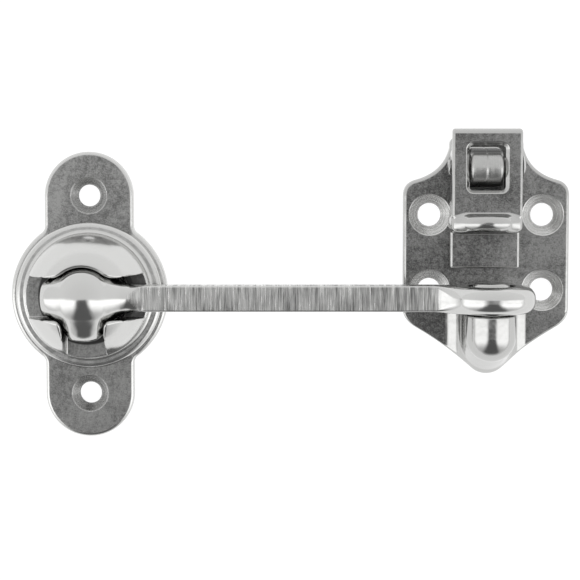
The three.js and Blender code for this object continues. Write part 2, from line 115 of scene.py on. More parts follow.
KEEPER_HALF_WIDTH = 20.9
KEEPER_TOP_Y = 39.7
KEEPER_TIP_Y = -19.7
KEEPER_TIP_R = 5.5
KEEPER_NECK = 9.3
KEEPER_CORNER_R = 1.8
KEEPER_HOLE_X = 14.25
KEEPER_HOLE_YS = (20.2, 1.2)
KEEPER_HOLE_R = 2.9
KEEPER_HEAD_R = 5.2
HORN_R = 6.2
HORN_Z = 14.3
HORN_FILLET = 4.3
HORN_SHOULDER_Y = -4.2
HORN_END_Y = -9.6
HORN_LEAN = 0.36  # the end runs this much further towards the tip for each mm below HORN_Z
PEG_R = 4.6
PEG_TOP_Y = 3.8
PEG_EDGE = 1.2

HINGE_X = HOOK_LENGTH - 0.8
HINGE_Y = 32.0
HINGE_Z = 8.0
KNUCKLE_R = 4.7
KNUCKLE_HALF_WIDTH = 4.0
KNUCKLE_EDGE = 1.0
SEAM_DEPTH = 0.12  # the parting line round the knuckle
SEAM_HALF_WIDTH = 0.16
PIN_R = 1.5
PIN_HOLE_R = 1.8
PIN_HEAD_R = 3.9
PIN_HEAD = 1.0
PIN_CROWN_R = 8.1
PIN_PEEN_R = 2.0

LEVER_HALF_WIDTH = 8.7
LEVER_TOP_Y = 41.6
LEVER_TIP_Y = 7.0
LEVER_FACE_Z = 12.4
LEVER_ROOF_Z = 10.8
LEVER_TOP_EDGE = 1.4
LEVER_SIDE_EDGE = 0.75
LEVER_EDGE = 0.4
CHEEK = 1.8
EAR_ROUND_R = 4.5
HEEL_START = (4.4, 0.9)  # a point on the heel's slope, from the pin's axis
HEEL_NORMAL = (0.412, 0.911)
HEEL_REACH = 8.6
FOOT_NORMAL = (0.37, 0.93)
FOOT_REACH = 5.6
TAB_TOP_Y = 20.4
TAB_BOTTOM_Y = 16.1
TAB_R = 8.7
TAB_Z = 16.0
TAB_EDGE = 1.2
TAB_FILLET = 1.5
ROOF_END_Y = TAB_TOP_Y - 0.7
TONGUE_TOP_Z = 7.4
TONGUE_BOTTOM_Z = 4.6
WINDOW_HALF_WIDTH = 4.5
WINDOW_BOTTOM = 26.4
WINDOW_TOP = 37.5
WINDOW_BEVEL = 0.75
WINDOW_CORNER_R = 1.1
WIRE_R = 0.35

# ---- distance fields -----------------------------------------------------------------------


def length(*parts):
    return np.sqrt(sum(p * p for p in parts))


def either(a, b, r=0.0):
    """Union, with a concave fillet of radius r where the two meet."""
    if np.isscalar(r) and r == 0:
        return np.minimum(a, b)
    return np.maximum(r, np.minimum(a, b)) - length(np.maximum(r - a, 0), np.maximum(r - b, 0))


def both(a, b, r=0.0):
    """Intersection, with a convex edge of radius r."""
    return -either(-a, -b, r)


def without(a, b, r=0.0):
    """a with b cut away, its edges rounded to radius r."""
    return both(a, -b, r)


def rectangle(u, v, half_u, half_v, r):
    """A rectangle about the origin with corners of radius r."""
    du = np.abs(u) - (half_u - r)
    dv = np.abs(v) - (half_v - r)
    outside = length(np.maximum(du, 0), np.maximum(dv, 0))
    return outside + np.minimum(np.maximum(du, dv), 0) - r


def polyline_distance(u, v, points):
    """Distance to an open polyline, and the side of it a point is on, by its nearest stretch."""
    best = None
    side = None
    for (u0, v0), (u1, v1) in zip(points[:-1], points[1:]):
        eu, ev = u1 - u0, v1 - v0
        wu, wv = u - u0, v - v0
        t = np.clip((wu * eu + wv * ev) / (eu * eu + ev * ev), 0, 1)
        d = (wu - t * eu) ** 2 + (wv - t * ev) ** 2
        s = eu * wv - ev * wu
        if best is None:
            best, side = d, s
        else:
            nearer = d < best
            best = np.where(nearer, d, best)
            side = np.where(nearer, s, side)
    return np.sqrt(best), side


def bezier(points, steps):
    """Points along a quadratic or cubic curve, without the first."""
    out = []
    for i in range(1, steps + 1):
        row = [np.array(p, float) for p in points]
        while len(row) > 1:
            row = [a + (b - a) * (i / steps) for a, b in zip(row[:-1], row[1:])]
        out.append(tuple(row[0]))
    return out


def arc(radius, cu, cv, start, end, steps):
    angles = np.radians(np.linspace(start, end, steps + 1))
    return [(cu + radius * math.cos(a), cv + radius * math.sin(a)) for a in angles]


def screw_hole(x, y, z, at, hole_r, head_r):
    """The space cut by a countersunk hole whose cone opens at the plate's front face."""
    r = length(x - at[0], y - at[1])
    cone = (r - (z + head_r - PLATE)) * math.sqrt(0.5)
    return np.minimum(r - hole_r, np.maximum(cone, r - head_r))


# ---- meshes --------------------------------------------------------------------------------


def gradient(field, points, step=0.01):
    slopes = []
    for axis in range(3):
        ahead = points.copy()
        behind = points.copy()
        ahead[:, axis] += step
        behind[:, axis] -= step
        slopes.append((field(*ahead.T) - field(*behind.T)) / (2 * step))
    return np.stack(slopes, axis=1)


def surfaced(name, field, low, high, cell=CELL):
    """An object whose mesh is a field's zero level inside the box from low to high, in mm."""
    axes = [np.arange(a - 2.5 * cell, b + 3 * cell, cell) for a, b in zip(low, high)]
    x = axes[0].reshape(-1, 1, 1)
    y = axes[1].reshape(1, -1, 1)
    z = axes[2].reshape(1, 1, -1)
    shape = tuple(len(a) for a in axes)
    values = np.broadcast_to(field(x, y, z), shape).astype(np.float32)
    grid = openvdb.FloatGrid(1.0)
    grid.copyFromArray(np.ascontiguousarray(values))
    points, triangles, quads = grid.convertToPolygons(isovalue=0.0, adaptivity=0.0)
    points = points.astype(float) * cell + np.array([a[0] for a in axes])
    for _ in range(4):
        slope = gradient(field, points)
        steep = np.maximum((slope * slope).sum(1), 0.05)
        move = (field(*points.T) / steep)[:, None] * slope
        far = np.maximum(length(*move.T) / (0.5 * cell), 1)[:, None]
        points = points - move / far
    normals = gradient(field, points)
    normals /= np.maximum(length(*normals.T), 1e-9)[:, None]
    faces = [tuple(q) for q in quads.tolist()] + [tuple(t) for t in triangles.tolist()]
    sample = np.array([f[:3] for f in faces[:: max(1, len(faces) // 2000)]])
    a, b, c = (points[sample[:, i]] for i in range(3))
    facing = (np.cross(b - a, c - a) * normals[sample[:, 0]]).sum()
    if facing < 0:
        faces = [f[::-1] for f in faces]
    mesh = bpy.data.meshes.new(name)
    mesh.from_pydata((points * MM).tolist(), [], faces)
    mesh.validate()
    mesh.shade_smooth()
    mesh.normals_split_custom_set_from_vertices(normals.tolist())
    piece = bpy.data.objects.new(name, mesh)
    bpy.context.scene.collection.objects.link(piece)
    return piece, points, normals


def mark(piece, name, values):
    """Stores one number per vertex for the materials to read."""
    attribute = piece.data.attributes.new(name, "FLOAT", "POINT")
    attribute.data.foreach_set("value", np.asarray(values, np.float32))


def ramp(values, low, high):
    t = np.clip((values - low) / (high - low), 0, 1)
    return t * t * (3 - 2 * t)


# ---- swivel base ---------------------------------------------------------------------------


def swivel_plate_field(x, y, z):
    ears = length(x, np.maximum(np.abs(y) - (EAR_REACH - EAR_R), 0)) - EAR_R
    disc = length(x, y) - DISC_R
    outline = either(ears, disc, 0.8)
    plate = both(outline, z - PLATE, PLATE_EDGE)
    plate = both(plate, -z, BACK_EDGE)
    for side in (-1, 1):
        hole = screw_hole(x, y, z, (0, side * EAR_HOLE_Y), EAR_HOLE_R, EAR_HEAD_R)
        plate = without(plate, hole, HOLE_EDGE)
    return plate


def dome_field(x, y, z):
    r = length(x, y)
    flange = both(r - FLANGE_R, z - FLANGE_TOP, FLANGE_EDGE)
    dome = length(r, np.maximum(z - DOME_Z, 0)) - DOME_R
    body = both(either(flange, dome, FLANGE_FILLET), PLATE + 0.05 - z)
    above = z - AXIS_Z
    ball_room = length(x, y, above) - (BALL_R + CLEAR)
    mouth = both(r - (MOUTH_R - MOUTH_INSET), -above)
    stub_room = both(length(x, y, above) - (STUB_REACH + CLEAR), above - STUB_ROOM)
    seat_room = both(r - SEAT_CAVITY_R, z - SEAT_CAVITY_TOP)
    collar_room = both(r - SEAT_COLLAR_R - CLEAR, z - SEAT_COLLAR_TOP - CLEAR)
    inside = either(either(ball_room, mouth), either(stub_room, either(seat_room, collar_room)))
    flare = np.clip(x - MOUTH_R, 0, 8) * SLOT_FLARE
    hook_slots = both(np.abs(y) - SLOT_HALF - np.where(y > 0, flare, 0), SLOT_FLOOR - z, 0.25)
    drop_slot = both(both(np.abs(x) - DROP_SLOT_HALF, y), SLOT_FLOOR - z, 0.25)
    slots = either(hook_slots, drop_slot, 1.2)
    lip = SLOT_LIP + MOUTH_LIP * np.exp(-(((r - MOUTH_R) / 1.6) ** 2))
    return without(body, either(inside, slots, 1.1), lip)


def seat_field(x, y, z):
    r = length(x, y)
    above = z - AXIS_Z
    disc = both(r - (SEAT_CAVITY_R - CLEAR), z - (SEAT_CAVITY_TOP - CLEAR), 0.3)
    collar = both(r - SEAT_COLLAR_R, z - SEAT_COLLAR_TOP, 0.3)
    body = both(either(disc, collar, 0.3), SEAT_BOTTOM - z, 0.2)
    stub_path = both(length(x, y, above) - (STUB_REACH + CLEAR), np.abs(y) - STUB_R - 0.4)
    return without(without(body, length(x, y, above) - (BALL_R + CLEAR), 0.15), stub_path, 0.3)


# ---- hook ----------------------------------------------------------------------------------


def ball_end(x, y, z):
    sphere = length(x, y, z) - BALL_R
    reach = length(x, y, z) - STUB_REACH
    across = both(both(length(y, z) - STUB_R, x), reach, STUB_EDGE)
    down = both(both(length(x, z) - STUB_R, y), reach, STUB_EDGE)
    return either(either(sphere, across, STUB_FILLET), down, STUB_FILLET)


def neck_and_bar(x, y, z):
    """The round neck, turning into the square bar."""
    root_r = STUB_R + 0.15
    radius = root_r - (root_r - NECK_R) * ramp(x, 6.2, 11.6)
    round_part = (length(y, z) - radius) * 0.97
    square_part = rectangle(y, z, BAR_HALF, BAR_HALF, BAR_EDGE)
    t = ramp(x, 10.6, 15.6)
    return round_part * (1 - t) + square_part * t


def eye_end(u, y, z):
    """The eye about its own centre, and the stretch where the bar swells and rounds into it."""
    t = ramp(u, -14.5, -8.5)
    strip = both(np.abs(z) - BAR_HALF, u)
    outline = either(strip, length(u, z) - EYE_R, EYE_FILLET)
    half = BAR_HALF + (EYE_HALF_HEIGHT - BAR_HALF) * t
    edge = BAR_EDGE + (EYE_EDGE - BAR_EDGE) * t
    return both(outline, np.abs(y + EYE_DROP * t) - half, edge)


def hook_field(x, y, z):
    z = z - AXIS_Z
    u = x - HOOK_LENGTH
    ball_half = either(ball_end(x, y, z), both(neck_and_bar(x, y, z), -x), NECK_FILLET)
    hook = np.where(u < -EYE_JOIN, ball_half, eye_end(u, y, z))
    return without(hook, length(u, z) - EYE_HOLE_R, EYE_HOLE_EDGE)


# ---- keeper --------------------------------------------------------------------------------


def keeper_side():
    """The right half of the keeper's outline, from the lower tip up to the top edge."""
    w = KEEPER_HALF_WIDTH
    corner_y = KEEPER_TOP_Y - KEEPER_CORNER_R
    points = [(-3.0, KEEPER_TIP_Y)]
    points += arc(KEEPER_TIP_R, 0, KEEPER_TIP_Y + KEEPER_TIP_R, -90, -48, 8)
    points += bezier([points[-1], (7.4, -14.95), (12, -11.5), (17.3, -8.4)], 10)
    points += bezier([points[-1], (w, -6.4), (w, -3.4)], 10)
    points += [(w, 25.0)]
    points += bezier([points[-1], (w, 28.2), (17.7, 29)], 10)
    points += bezier([points[-1], (14.2, 30), (10.6, 32), (KEEPER_NECK, 37)], 14)
    points += [(KEEPER_NECK, corner_y)]
    points += arc(KEEPER_CORNER_R, KEEPER_NECK - KEEPER_CORNER_R, corner_y, 0, 90, 6)[1:]
    points += [(-3.0, KEEPER_TOP_Y)]
    return points


KEEPER_SIDE = keeper_side()


def keeper_outline(u, y):
    away, side = polyline_distance(np.abs(u), y, KEEPER_SIDE)
    return np.where(side > 0, -away, away)


def horn_field(u, y, z):
    end = HORN_END_Y - HORN_LEAN * np.maximum(HORN_Z - z, 0)
    q = length(u, np.maximum(end - y, 0))
    return length(q, np.maximum(z - HORN_Z, 0)) - HORN_R


def keeper_field(x, y, z):
    u = x - HOOK_LENGTH
    outline = keeper_outline(u, y)
    slab = z - PLATE
    plate = both(outline, slab, PLATE_EDGE)
    horn = either(slab, horn_field(u, y, z), HORN_FILLET)
    horn = both(both(horn, y - HORN_SHOULDER_Y, 0.5), outline, 0.5)
    peg_r = length(u, z - AXIS_Z) - PEG_R
    peg = both(both(peg_r, y - PEG_TOP_Y, PEG_EDGE), HORN_SHOULDER_Y - 2 - y)
    barrel = length(y - HINGE_Y, z - HINGE_Z) - KNUCKLE_R
    web = both(np.abs(y - HINGE_Y) - KNUCKLE_R, z - HINGE_Z)
    across = x - HINGE_X
    ends = np.abs(across) - KNUCKLE_HALF_WIDTH - 0.1
    knuckle = both(either(barrel, web), ends, KNUCKLE_EDGE)
    seam = SEAM_DEPTH * np.exp(-((across / SEAM_HALF_WIDTH) ** 2))
    body = either(plate, either(horn, peg, 0.3))
    body = either(body, knuckle + seam, 0.6)
    body = both(body, -z, BACK_EDGE)
    pin = length(y - HINGE_Y, z - HINGE_Z) - PIN_HOLE_R
    body = without(body, pin, HOLE_EDGE)
    for hole_y in KEEPER_HOLE_YS:
        at = (KEEPER_HOLE_X, hole_y)
        hole = screw_hole(np.abs(u), y, z, at, KEEPER_HOLE_R, KEEPER_HEAD_R)
        body = without(body, hole, HOLE_EDGE)
    return body


def thumb_tab(u, y, z):
    """Half a disc with a rounded rim, standing across the lever between two low shoulders."""
    middle = (TAB_TOP_Y + TAB_BOTTOM_Y) / 2
    half = (TAB_TOP_Y - TAB_BOTTOM_Y) / 2
    disc = both(length(u, z - (TAB_Z - TAB_R)) - TAB_R, np.abs(y - middle) - half, half - 0.05)
    shoulders = both(np.abs(u) - LEVER_HALF_WIDTH, z - LEVER_FACE_Z, TAB_EDGE)
    shoulders = both(shoulders, np.abs(y - middle) - half, TAB_EDGE)
    return both(either(disc, shoulders, TAB_FILLET), TONGUE_BOTTOM_Z - z)


def lever_wall(y, z):
    """The outline of a side wall: rounded about the pin, with its heel cut clear of the plate."""
    round_ear = length(y - HINGE_Y, z - HINGE_Z) - EAR_ROUND_R
    top = z - LEVER_ROOF_Z - LEVER_EDGE
    heel_y = y - HINGE_Y - HEEL_START[0]
    heel_z = z - HINGE_Z - HEEL_START[1]
    heel = heel_y * HEEL_NORMAL[0] - heel_z * HEEL_NORMAL[1]
    behind = both(both(top, heel), both(y - HINGE_Y - HEEL_REACH, HINGE_Y - 1 - y))
    foot_y = y - (HINGE_Y - FOOT_REACH)
    foot = foot_y * FOOT_NORMAL[0] - (z - TONGUE_BOTTOM_Z) * FOOT_NORMAL[1]
    ahead = both(both(top, TONGUE_BOTTOM_Z - z), both(y - HINGE_Y, TAB_TOP_Y - 1 - y))
    return either(both(round_ear, top), either(behind, both(ahead, foot)))


def lever_window(u, y, z):
    """The space cut by the window, with the bevel round its front edge."""
    middle = (WINDOW_TOP + WINDOW_BOTTOM) / 2
    half = (WINDOW_TOP - WINDOW_BOTTOM) / 2
    window = rectangle(u, y - middle, WINDOW_HALF_WIDTH, half, WINDOW_CORNER_R)
    bevel = (window - (z - (LEVER_FACE_Z - WINDOW_BEVEL))) * math.sqrt(0.5)
    bevel = np.maximum(bevel, window - WINDOW_BEVEL)
    return both(np.minimum(window, bevel), HINGE_Z - z)


def lever_field(x, y, z):
    u = x - HINGE_X
    front = both(z - LEVER_FACE_Z, y - LEVER_TOP_Y, LEVER_TOP_EDGE)
    roof = both(front, both(LEVER_ROOF_Z - z, ROOF_END_Y - y), LEVER_EDGE)
    block = both(
        both(y - TAB_TOP_Y - 1.6, ROOF_END_Y - y),
        both(z - LEVER_FACE_Z, TONGUE_BOTTOM_Z - z),
        LEVER_EDGE,
    )
    tongue = both(
        both(z - TONGUE_TOP_Z, TONGUE_BOTTOM_Z - z),
        both(y - TAB_TOP_Y, LEVER_TIP_Y - y),
        LEVER_EDGE,
    )
    cheeks = both(lever_wall(y, z), LEVER_HALF_WIDTH - CHEEK - np.abs(u), 0.2)
    solid = either(either(roof, either(block, tongue)), cheeks, LEVER_EDGE)
    solid = both(solid, np.abs(u) - LEVER_HALF_WIDTH, LEVER_SIDE_EDGE)
    solid = either(solid, thumb_tab(u, y, z), 0.5)
    solid = without(solid, lever_window(u, y, z), 0.12)
    return without(solid, length(y - HINGE_Y, z - HINGE_Z) - PIN_HOLE_R, HOLE_EDGE)


def pin_field(x, y, z):
    u = x - HINGE_X
    r = length(y - HINGE_Y, z - HINGE_Z)
    face = LEVER_HALF_WIDTH + 0.2
    shank = both(r - PIN_R, np.abs(u) - face - 0.3)
    crown = length(u - (face + PIN_HEAD - PIN_CROWN_R), r) - PIN_CROWN_R
    head = both(both(both(r - PIN_HEAD_R, face - u), u - face - PIN_HEAD, 0.2), crown, 0.1)
    peen = both(both(r - PIN_PEEN_R, u + face), -face - 0.5 - u, 0.35)
    return either(shank, either(head, peen))


# ---- springs -------------------------------------------------------------------------------


def tube(name, path, radius, sides=12):
    """A round wire along a list of points in mm, closed at both ends."""
    path = np.array(path)
    along = np.gradient(path, axis=0)
    along /= length(*along.T)[:, None]
    across = np.cross(along[0], (1.0, 0.0, 0.0))
    vertices, faces = [], []
    for i, (point, direction) in enumerate(zip(path, along)):
        across = across - direction * across.dot(direction)
        across /= np.linalg.norm(across)
        other = np.cross(direction, across)
        for k in range(sides):
            a = k / sides * 2 * math.pi
            vertices.append((point + radius * (math.cos(a) * across + math.sin(a) * other)) * MM)
        if i:
            for k in range(sides):
                n = (k + 1) % sides
                base = (i - 1) * sides
                faces.append((base + k, base + n, base + sides + n, base + sides + k))
    last = (len(path) - 1) * sides
    faces.append(tuple(reversed(range(sides))))
    faces.append(tuple(last + k for k in range(sides)))
    mesh = bpy.data.meshes.new(name)
    mesh.from_pydata([tuple(v) for v in vertices], [], faces)
    mesh.shade_smooth()
    piece = bpy.data.objects.new(name, mesh)
    bpy.context.scene.collection.objects.link(piece)
    return piece


def lever_spring(name, side):
    """A coil about the pin, one leg towards the keeper's plate and one under the lever's roof."""
    coil_r = 2.1
    turns = 2.5
    pitch = 0.78
    leg = 6.0
    foot = 4.1  # how far below the pin's axis the lower leg ends
    middle = side * (KNUCKLE_HALF_WIDTH + LEVER_HALF_WIDTH - CHEEK) / 2 + HINGE_X
    path = []
    for t in np.linspace(0, 1, 12, endpoint=False):
        height = -foot + (foot - coil_r) * math.sin(t * math.pi / 2)
        path.append((-turns * pitch / 2, -leg + leg * t, height))
    for t in np.linspace(0, 1, 101):
        a = -math.pi / 2 + t * turns * 2 * math.pi
        path.append(((t - 0.5) * turns * pitch, coil_r * math.cos(a), coil_r * math.sin(a)))
    for t in np.linspace(0, 1, 12)[1:]:
        path.append((turns * pitch / 2, -leg * t, coil_r))
    return tube(name, [(x + middle, y + HINGE_Y, z + HINGE_Z) for x, y, z in path], WIRE_R)


# ---- materials -----------------------------------------------------------------------------


class Nodes:
    """Short calls for building the nodes of a material or a world."""

    def __init__(self, tree, coordinates="Object"):
        self.tree = tree
        self.place = tree.nodes.new("ShaderNodeTexCoord").outputs[coordinates]

    def add(self, kind, inputs=(), **settings):
        node = self.tree.nodes.new(kind)
        for key, value in settings.items():
            setattr(node, key, value)
        for key, value in dict(inputs).items():
            socket = node.inputs[key]
            if hasattr(value, "is_output"):
                self.tree.links.new(value, socket)
            else:
                socket.default_value = value
        return node

    def scaled(self, scale):
        node = self.add("ShaderNodeMapping", {"Vector": self.place, "Scale": scale})
        return node.outputs["Vector"]

    def noise(self, scale, detail=2.0, roughness=0.5, vector=None):
        inputs = {
            "Vector": self.place if vector is None else vector,
            "Scale": scale,
            "Detail": detail,
            "Roughness": roughness,
        }
        return self.add("ShaderNodeTexNoise", inputs).outputs["Fac"]

    def span(self, value, low, high, to_low=0.0, to_high=1.0):
        inputs = {
            "Value": value,
            "From Min": low,
            "From Max": high,
            "To Min": to_low,
            "To Max": to_high,
        }
        return self.add("ShaderNodeMapRange", inputs).outputs["Result"]

    def soft_span(self, value, low, high):
        inputs = {"Value": value, "From Min": low, "From Max": high}
        settings = {"interpolation_type": "SMOOTHSTEP"}
        return self.add("ShaderNodeMapRange", inputs, **settings).outputs["Result"]

    def math(self, operation, a, b=0.0):
        return self.add("ShaderNodeMath", {0: a, 1: b}, operation=operation).outputs["Value"]

    def attribute(self, name):
        return self.add("ShaderNodeAttribute", attribute_name=name).outputs["Fac"]

    def mix(self, factor, a, b):
        return self.add("ShaderNodeMix", {0: factor, 2: a, 3: b}, data_type="FLOAT").outputs[0]

    def mix_color(self, factor, a, b):
        return self.add("ShaderNodeMix", {0: factor, 6: a, 7: b}, data_type="RGBA").outputs[2]

    def mix_normal(self, factor, a, b):
        return self.add("ShaderNodeMix", {0: factor, 4: a, 5: b}, data_type="VECTOR").outputs[1]

    def bump(self, height, distance, strength=1.0, normal=None):
        inputs = {"Height": height, "Distance": distance, "Strength": strength}
        if normal is not None:
            inputs["Normal"] = normal
        return self.add("ShaderNodeBump", inputs).outputs["Normal"]

    def along(self, value):
        """A vector that changes only with one value, for marks that run in lines."""
        inputs = {"X": value, "Y": 0.0, "Z": 0.0}
        return self.add("ShaderNodeCombineXYZ", inputs).outputs["Vector"]


class Metal(Nodes):
    """A metal material, with its shader's sockets linked by name."""

    def __init__(self, name):
        self.material = bpy.data.materials.new(name)
        self.material.use_nodes = True
        super().__init__(self.material.node_tree)
        self.shader = self.tree.nodes["Principled BSDF"]
        self.shader.inputs["Metallic"].default_value = 1.0

    def link(self, value, socket):
        self.tree.links.new(value, self.shader.inputs[socket])


def grey(level):
    """A steel grey, very slightly warm."""
    return (level, level, level * 0.985, 1.0)


POLISHED = grey(0.59)
SHADE_GREY = grey(0.06)  # painted shade for the walls of holes and the gaps between parts


def cast_steel(name, satin, cut, mirror, gloss, shade):
    """Tumbled satin faces, polished edges, turned holes, and painted shade on inner walls and in
    gaps.

    Satin and cut are the dark and light greys of the satin and of the turned marks, mirror is
    the grey of the polish, gloss is the range of its roughness, and shade darkens the satin
    from one X (in metres) to another.
    """
    n = Metal(name)
    polish = n.attribute("polish")
    turned = n.attribute("turned")
    speck = n.noise(2900.0, 3.0, 0.7)
    mottle = n.noise(900.0, 3.0, 0.6)
    cloud = n.noise(110.0, 3.0, 0.55)
    tone = n.math("ADD", n.span(mottle, 0.3, 0.7, -0.5, 0.5), n.span(cloud, 0.3, 0.7, -0.5, 0.5))
    tone = n.math("ADD", tone, n.span(speck, 0.3, 0.7, -0.8, 0.8))
    sideways = n.add("ShaderNodeSeparateXYZ", {"Vector": n.place}).outputs["X"]
    tone = n.math("ADD", tone, n.span(sideways, shade[0], shade[1], 0.3, -0.3))
    color = n.mix_color(n.span(tone, -0.8, 0.8), grey(satin[0]), grey(satin[1]))
    color = n.mix_color(polish, color, grey(mirror))
    lathe = n.noise(6.0, 3.0, 0.75, n.along(n.attribute("ring")))
    marks = n.mix_color(n.span(lathe, 0.3, 0.7), grey(cut[0]), grey(cut[1]))
    color = n.mix_color(turned, color, marks)
    # painted shade: the last attribute mixes a near-black grey into holes and gaps
    n.link(n.mix_color(n.attribute("painted_shade"), color, SHADE_GREY), "Base Color")
    satin_rough = n.span(tone, -0.8, 0.8, 0.46, 0.3)
    polish_rough = n.span(mottle, 0.3, 0.7, gloss[0], gloss[1])
    rough = n.mix(polish, satin_rough, polish_rough)
    n.link(n.mix(turned, rough, 0.28), "Roughness")
    grain = n.bump(mottle, 0.00014, 0.4, n.bump(speck, 0.00008, 0.5))
    soft = n.bump(n.noise(260.0, 2.0, 0.5), 0.00009, 0.7)
    normal = n.mix_normal(polish, grain, soft)
    n.link(n.mix_normal(turned, normal, n.bump(lathe, 0.0001, 0.8)), "Normal")
    return n.material


def hook_steel():
    """Mirror polish at the ball and eye, and grinding lines across the bar between them."""
    n = Metal("hook_steel")
    polish = n.attribute("polish")
    fine = n.noise(1.0, 3.0, 0.7, n.scaled((3400.0, 120.0, 120.0)))
    broad = n.noise(1.0, 2.0, 0.6, n.scaled((1100.0, 90.0, 90.0)))
    cloud = n.noise(150.0, 2.0, 0.5)
    lines = n.math("ADD", n.span(fine, 0.3, 0.7, -0.8, 0.8), n.span(broad, 0.3, 0.7, -0.4, 0.4))
    lines = n.math("ADD", lines, n.span(cloud, 0.3, 0.7, -0.2, 0.2))
    # painted shade: the ground bar darkens along X towards the eye
    sideways = n.add("ShaderNodeSeparateXYZ", {"Vector": n.place}).outputs["X"]
    lines = n.math("ADD", lines, n.span(sideways, 0.02, 0.085, 0.05, -0.2))
    ground = n.mix_color(n.span(lines, -0.8, 0.8), grey(0.16), grey(0.78))
    n.link(n.mix_color(polish, ground, POLISHED), "Base Color")
    n.link(n.mix(polish, n.span(lines, -0.8, 0.8, 0.42, 0.26), 0.14), "Roughness")
    grain = n.bump(fine, 0.00012, 0.6, n.bump(broad, 0.0002, 0.5))
    soft = n.bump(n.noise(230.0, 2.0, 0.5), 0.00012, 0.7)
    n.link(n.mix_normal(polish, grain, soft), "Normal")
    return n.material


def plain_steel(name, level, roughness):
    n = Metal(name)
    grain = n.noise(2600.0, 2.0, 0.6)
    n.link(n.mix_color(grain, grey(level * 0.85), grey(level * 1.1)), "Base Color")
    n.link(n.span(grain, 0.3, 0.7, roughness * 0.85, roughness * 1.15), "Roughness")
    n.link(n.bump(grain, 0.00005, 0.4), "Normal")
    return n.material


SWIVEL = cast_steel("swivel_steel", (0.17, 0.43), (0.16, 0.5), 0.62, (0.18, 0.26), (-0.03, 0.03))
KEEPER = cast_steel("keeper_steel", (0.1, 0.32), (0.38, 0.9), 0.5, (0.1, 0.17), (0.12, 0.08))
HOOK = hook_steel()
SPRING = plain_steel("spring_wire", 0.45, 0.3)
INNER = plain_steel("inner_steel", 0.3, 0.4)


def dress(piece, material, body, node):
    piece.data.materials.append(material)
    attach(piece, body)
    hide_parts(node)


# ---- the pieces ----------------------------------------------------------------------------


def flatness(normals):
    """1 on faces square to Z, falling to 0 as they tilt."""
    return ramp(np.abs(normals[:, 2]), 0.985, 0.998)


def mark_cast(piece, polish, turned=0.0, ring=0.0, painted_shade=0.0):
    """Marks a casting for its material. Ring is the distance that turning marks follow."""
    count = len(piece.data.vertices)
    # the last mark is painted shade, a near-black grey for holes and gaps
    for name, values in (("polish", polish), ("turned", turned), ("ring", ring), ("painted_shade", painted_shade)):
        mark(piece, name, np.broadcast_to(values, (count,)))


def plate_marks(points, normals, centres, hole_r, head_r):
    """How far each vertex is turned or darkened by painted shade in the bore, and its distance from
    the nearest hole's axis.
    """
    ring = np.full(len(points), 99.0)
    for cx, cy in centres:
        ring = np.minimum(ring, length(points[:, 0] - cx, points[:, 1] - cy))
    inside = (ring < head_r + 0.05) & (points[:, 2] < PLATE - 0.01)
    upright = ramp(np.abs(normals[:, 2]), 0.5, 0.2)
    # painted shade: the upright wall of each bore is darkened
    return inside * 0.9, inside * upright * (ring < hole_r + 0.3), ring


def make_swivel_plate():
    piece, points, normals = surfaced(
        "swivel_base", swivel_plate_field, (-DISC_R, -EAR_REACH, 0), (DISC_R, EAR_REACH, PLATE)
    )
    holes = [(0, EAR_HOLE_Y), (0, -EAR_HOLE_Y)]
    turned, painted_shade, ring = plate_marks(points, normals, holes, EAR_HOLE_R, EAR_HEAD_R)
    disc_rim = ramp(np.abs(points[:, 0]), EAR_R - 0.9, EAR_R) * (points[:, 2] > PLATE / 2)
    mark_cast(piece, np.maximum(1 - flatness(normals), disc_rim), turned, ring, painted_shade)
    dress(piece, SWIVEL, "housing", "swivel_plate")


def make_dome():
    piece, points, normals = surfaced(
        "dome_shell", dome_field, (-FLANGE_R, -FLANGE_R, PLATE), (FLANGE_R, FLANGE_R, 22)
    )
    floor = (np.abs(points[:, 2] - SLOT_FLOOR) < 0.05) * flatness(normals)
    # painted shade: the walls close round the ball and the stubs are darkened, more so deeper down
    from_ball = length(points[:, 0], points[:, 1], points[:, 2] - AXIS_Z)
    by_ball = ramp(from_ball, BALL_R + CLEAR + 0.5, BALL_R + CLEAR + 0.2)
    by_stub = ramp(np.abs(from_ball - STUB_REACH - CLEAR), 0.4, 0.1)
    by_stub = by_stub * (points[:, 2] < AXIS_Z + STUB_ROOM)
    deep = ramp(points[:, 2], AXIS_Z + 2.5, AXIS_Z - 1)
    painted_shade = np.maximum(by_ball, by_stub) * (1 - floor) * deep
    # painted shadow on the slot floor, under the neck and in a ring round the stubs' ends
    stub_contact_shadow = ramp(length(points[:, 0], points[:, 1]), STUB_REACH + 1.5, STUB_REACH + 1.1)
    painted_shade = np.maximum(painted_shade, floor * np.maximum(0.7 * ramp(points[:, 0], 4, 8), stub_contact_shadow))
    mark_cast(piece, 1 - floor, floor * 0.3, points[:, 0] * 0.2, painted_shade)
    dress(piece, SWIVEL, "housing", "dome_cap")


def make_seat():
    low = (-12, -12, 4.5)
    high = (12, 12, 9.6)
    piece = surfaced("seat_cup", seat_field, low, high, CELL * 1.3)[0]
    dress(piece, INNER, "seat", "ball_seat")


def make_hook():
    low = (-STUB_REACH, -STUB_REACH, AXIS_Z - EYE_R)
    high = (HOOK_LENGTH + EYE_R, BALL_R, AXIS_Z + EYE_R)
    piece, points, normals = surfaced("hook_bar", hook_field, low, high)
    x = points[:, 0]
    squareness = np.maximum(np.abs(normals[:, 1]), np.abs(normals[:, 2]))
    eye_edge = HOOK_LENGTH - 12.6 + 1.3 * np.abs(points[:, 1])
    ground = ramp(x, 10.4, 12.4) * ramp(x, eye_edge + 0.4, eye_edge - 0.8)
    mark(piece, "polish", 1 - ground * ramp(squareness, 0.9, 0.98))
    dress(piece, HOOK, "hook", "hook")


